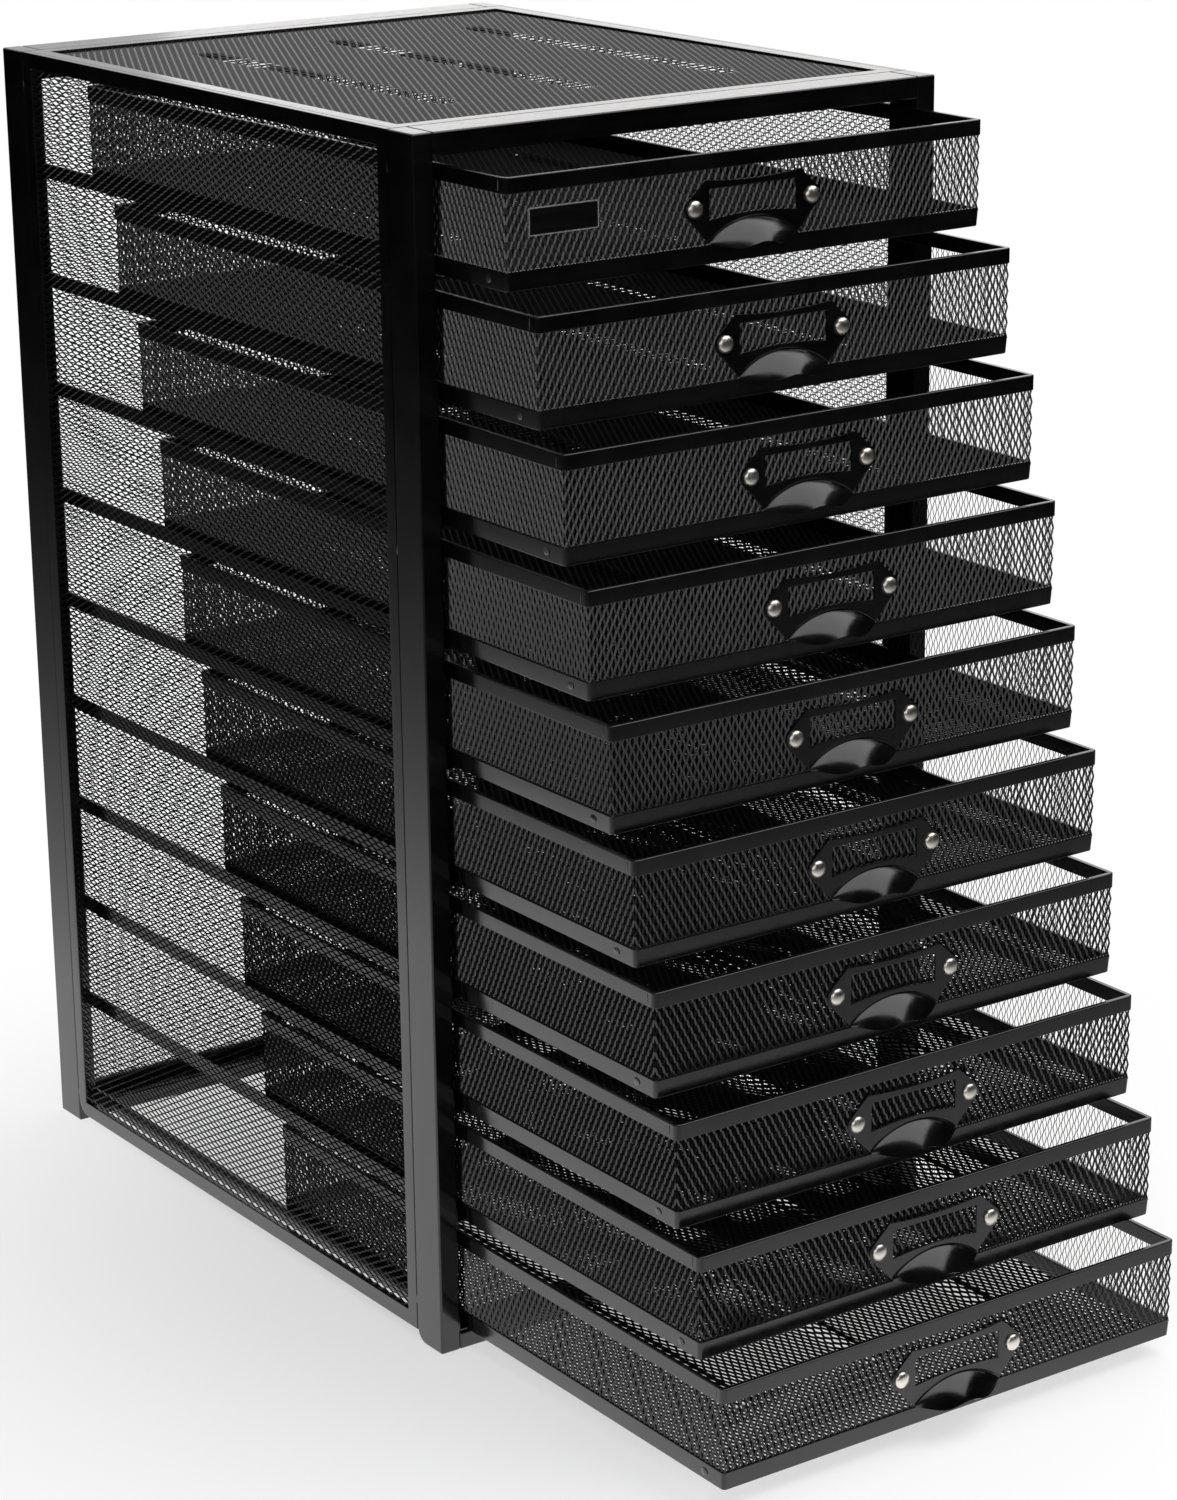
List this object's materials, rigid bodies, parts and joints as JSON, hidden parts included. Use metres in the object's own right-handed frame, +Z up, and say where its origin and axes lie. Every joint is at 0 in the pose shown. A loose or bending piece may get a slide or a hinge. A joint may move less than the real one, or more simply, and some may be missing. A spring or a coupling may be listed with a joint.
{
  "type": "desktop drawer cabinet",
  "caption": "Free-standing desktop cabinet of black powder-coated steel mesh with shallow mesh drawers, each with a label window and a half-moon finger pull, slid out like a staircase",
  "frame": {"origin": "the middle of the front foot rail's underside, on the surface that the cabinet stands on", "axes": "+X to the right seen from the front, +Y from the front to the back, +Z up; the drawers open towards -Y"},
  "size_m": [0.276, 0.5612, 0.546],
  "materials": {
    "black_coat": "semi-gloss black powder coat on sheet steel and flat tube",
    "black_mesh": "semi-gloss black powder coat on expanded steel mesh",
    "bright_rivet": "bright nickel-plated domed rivet"
  },
  "bodies": {
    "cabinet": {"front_frame": "black_coat", "back_frame": "black_coat", "left_panel_border": "black_coat", "right_panel_border": "black_coat", "left_panel_mesh": "black_mesh", "right_panel_mesh": "black_mesh", "top_panel": "black_coat", "back_panel": "black_coat", "left_runners": "black_coat", "right_runners": "black_coat"},
    "drawer_01": {"drawer_01_basket": "black_mesh", "drawer_01_rim": "black_coat", "drawer_01_base": "black_coat", "drawer_01_pull": "black_coat", "drawer_01_rivets": "bright_rivet"},
    "drawer_02": {"drawer_02_basket": "black_mesh", "drawer_02_rim": "black_coat", "drawer_02_base": "black_coat", "drawer_02_pull": "black_coat", "drawer_02_rivets": "bright_rivet"},
    "drawer_03": {"drawer_03_basket": "black_mesh", "drawer_03_rim": "black_coat", "drawer_03_base": "black_coat", "drawer_03_pull": "black_coat", "drawer_03_rivets": "bright_rivet"},
    "drawer_04": {"drawer_04_basket": "black_mesh", "drawer_04_rim": "black_coat", "drawer_04_base": "black_coat", "drawer_04_pull": "black_coat", "drawer_04_rivets": "bright_rivet"},
    "drawer_05": {"drawer_05_basket": "black_mesh", "drawer_05_rim": "black_coat", "drawer_05_base": "black_coat", "drawer_05_pull": "black_coat", "drawer_05_rivets": "bright_rivet"},
    "drawer_06": {"drawer_06_basket": "black_mesh", "drawer_06_rim": "black_coat", "drawer_06_base": "black_coat", "drawer_06_pull": "black_coat", "drawer_06_rivets": "bright_rivet"},
    "drawer_07": {"drawer_07_basket": "black_mesh", "drawer_07_rim": "black_coat", "drawer_07_base": "black_coat", "drawer_07_pull": "black_coat", "drawer_07_rivets": "bright_rivet"},
    "drawer_08": {"drawer_08_basket": "black_mesh", "drawer_08_rim": "black_coat", "drawer_08_base": "black_coat", "drawer_08_pull": "black_coat", "drawer_08_rivets": "bright_rivet"},
    "drawer_09": {"drawer_09_basket": "black_mesh", "drawer_09_rim": "black_coat", "drawer_09_base": "black_coat", "drawer_09_pull": "black_coat", "drawer_09_rivets": "bright_rivet"},
    "drawer_10": {"drawer_10_basket": "black_mesh", "drawer_10_rim": "black_coat", "drawer_10_base": "black_coat", "drawer_10_pull": "black_coat", "drawer_10_rivets": "bright_rivet"}
  },
  "joints": [
    {"name": "drawer_01_slide", "type": "slide", "parent": "cabinet", "child": "drawer_01", "axis": [0, -1, 0], "range_m": [-0.0475, 0.1925]},
    {"name": "drawer_02_slide", "type": "slide", "parent": "cabinet", "child": "drawer_02", "axis": [0, -1, 0], "range_m": [-0.0685, 0.1715]},
    {"name": "drawer_03_slide", "type": "slide", "parent": "cabinet", "child": "drawer_03", "axis": [0, -1, 0], "range_m": [-0.086, 0.154]},
    {"name": "drawer_04_slide", "type": "slide", "parent": "cabinet", "child": "drawer_04", "axis": [0, -1, 0], "range_m": [-0.102, 0.138]},
    {"name": "drawer_05_slide", "type": "slide", "parent": "cabinet", "child": "drawer_05", "axis": [0, -1, 0], "range_m": [-0.117, 0.123]},
    {"name": "drawer_06_slide", "type": "slide", "parent": "cabinet", "child": "drawer_06", "axis": [0, -1, 0], "range_m": [-0.1325, 0.1075]},
    {"name": "drawer_07_slide", "type": "slide", "parent": "cabinet", "child": "drawer_07", "axis": [0, -1, 0], "range_m": [-0.146, 0.094]},
    {"name": "drawer_08_slide", "type": "slide", "parent": "cabinet", "child": "drawer_08", "axis": [0, -1, 0], "range_m": [-0.1605, 0.0795]},
    {"name": "drawer_09_slide", "type": "slide", "parent": "cabinet", "child": "drawer_09", "axis": [0, -1, 0], "range_m": [-0.176, 0.064]},
    {"name": "drawer_10_slide", "type": "slide", "parent": "cabinet", "child": "drawer_10", "axis": [0, -1, 0], "range_m": [-0.192, 0.048]}
  ]
}
